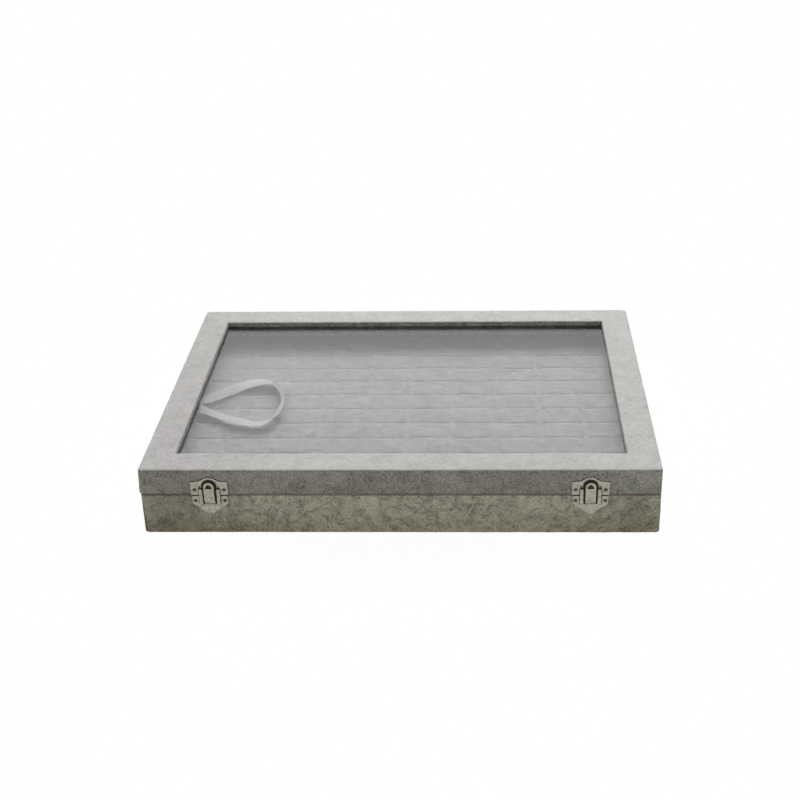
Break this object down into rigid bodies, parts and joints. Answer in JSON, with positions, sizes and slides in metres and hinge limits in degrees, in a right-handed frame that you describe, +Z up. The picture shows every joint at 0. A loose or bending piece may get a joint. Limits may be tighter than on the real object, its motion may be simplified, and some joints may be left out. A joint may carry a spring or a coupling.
{
  "type": "ring display box",
  "caption": "Flat velvet-covered jewellery case with a slit ring pad, a hinged glass-window lid, front snap latches and a ribbon stay.",
  "frame": {"origin": "centre of the underside, on the surface that the box lies on", "axes": "+X to the right along the width, +Y from the latches to the hinges, +Z up through the glass lid"},
  "size_m": [0.35, 0.2457, 0.05],
  "materials": {
    "lid_velvet": "short-pile light grey velvet",
    "base_velvet": "crushed dark grey velvet",
    "pad_velvet": "short-pile grey velvet",
    "foam": "open-cell foam",
    "board": "raw fibreboard",
    "card": "matt card",
    "under_felt": "flat felt",
    "glass": "clear polished",
    "nickel": "nickel-plated stamping, slightly dull",
    "steel_pin": "drawn wire",
    "ribbon": "thin woven ribbon, slightly sheer"
  },
  "bodies": {
    "base": {"bottom_felt": "under_felt", "bottom_board": "board", "base_wall_front": "board", "base_wall_back": "board", "base_wall_left": "board", "base_wall_right": "board", "base_velvet_wrap": "base_velvet", "base_lining": "base_velvet", "tray_card": "card", "ring_foam": "foam", "ring_pad_cover": "pad_velvet", "left_latch_plate": "nickel", "right_latch_plate": "nickel", "latch_plate_nails": "nickel", "left_hinge_base_leaf": "nickel", "right_hinge_base_leaf": "nickel", "left_hinge_pin": "steel_pin", "right_hinge_pin": "steel_pin", "hinge_base_nails": "nickel", "stay_base_tab": "ribbon"},
    "lid": {"lid_rail_front": "board", "lid_rail_back": "board", "lid_rail_left": "board", "lid_rail_right": "board", "lid_velvet_wrap": "lid_velvet", "glass_pane": "glass", "glass_stop_front": "lid_velvet", "glass_stop_back": "lid_velvet", "glass_stop_left": "lid_velvet", "glass_stop_right": "lid_velvet", "left_catch_plate": "nickel", "right_catch_plate": "nickel", "catch_plate_nails": "nickel", "left_hinge_lid_leaf": "nickel", "right_hinge_lid_leaf": "nickel", "hinge_lid_nails": "nickel", "stay_lid_tab": "ribbon"},
    "left_latch": {"left_latch_tongue": "nickel"},
    "right_latch": {"right_latch_tongue": "nickel"},
    "ribbon_base_1": {"stay_ribbon_base_1": "ribbon"},
    "ribbon_base_2": {"stay_ribbon_base_2": "ribbon"},
    "ribbon_lid_1": {"stay_ribbon_lid_1": "ribbon"},
    "ribbon_lid_2": {"stay_ribbon_lid_2": "ribbon"}
  },
  "joints": [
    {"name": "lid_hinge", "type": "hinge", "parent": "base", "child": "lid", "pos_m": [0, 0.1219, 0.0308], "axis": [-1, 0, 0], "range_deg": [0, 92]},
    {"name": "left_latch_spring", "type": "hinge", "parent": "base", "child": "left_latch", "pos_m": [-0.1275, -0.12035, 0.0243], "axis": [1, 0, 0], "range_deg": [0, 15], "stiffness_Nm_per_rad": 0.06},
    {"name": "right_latch_spring", "type": "hinge", "parent": "base", "child": "right_latch", "pos_m": [0.1275, -0.12035, 0.0243], "axis": [1, 0, 0], "range_deg": [0, 15], "stiffness_Nm_per_rad": 0.06},
    {"name": "ribbon_base_root", "type": "hinge", "parent": "base", "child": "ribbon_base_1", "pos_m": [-0.164, -0.00737, 0.0303], "axis": [-0.5032, -0.5343, 0.6792], "range_deg": [0, 86]},
    {"name": "ribbon_base_elbow", "type": "hinge", "parent": "ribbon_base_1", "child": "ribbon_base_2", "pos_m": [-0.10783, -0.0373, 0.0344], "axis": [0.7906, 0.3583, -0.4966], "range_deg": [0, 97.05]},
    {"name": "ribbon_lid_root", "type": "hinge", "parent": "lid", "child": "ribbon_lid_1", "pos_m": [-0.164, -0.00066, 0.0306], "axis": [-0.1649, 0.6475, 0.744], "range_deg": [0, 52.9]},
    {"name": "ribbon_lid_elbow", "type": "hinge", "parent": "ribbon_lid_1", "child": "ribbon_lid_2", "pos_m": [-0.10907, 0.02625, 0.0344], "axis": [0.9002, -0.4176, 0.1237], "range_deg": [0, 130.78]}
  ],
  "couplings": [
    {"joint": "ribbon_base_root", "follows": "lid_hinge", "ratio": 0.9294},
    {"joint": "ribbon_base_elbow", "follows": "lid_hinge", "ratio": 1.0495},
    {"joint": "ribbon_lid_root", "follows": "lid_hinge", "ratio": 0.5696},
    {"joint": "ribbon_lid_elbow", "follows": "lid_hinge", "ratio": 1.4161}
  ]
}
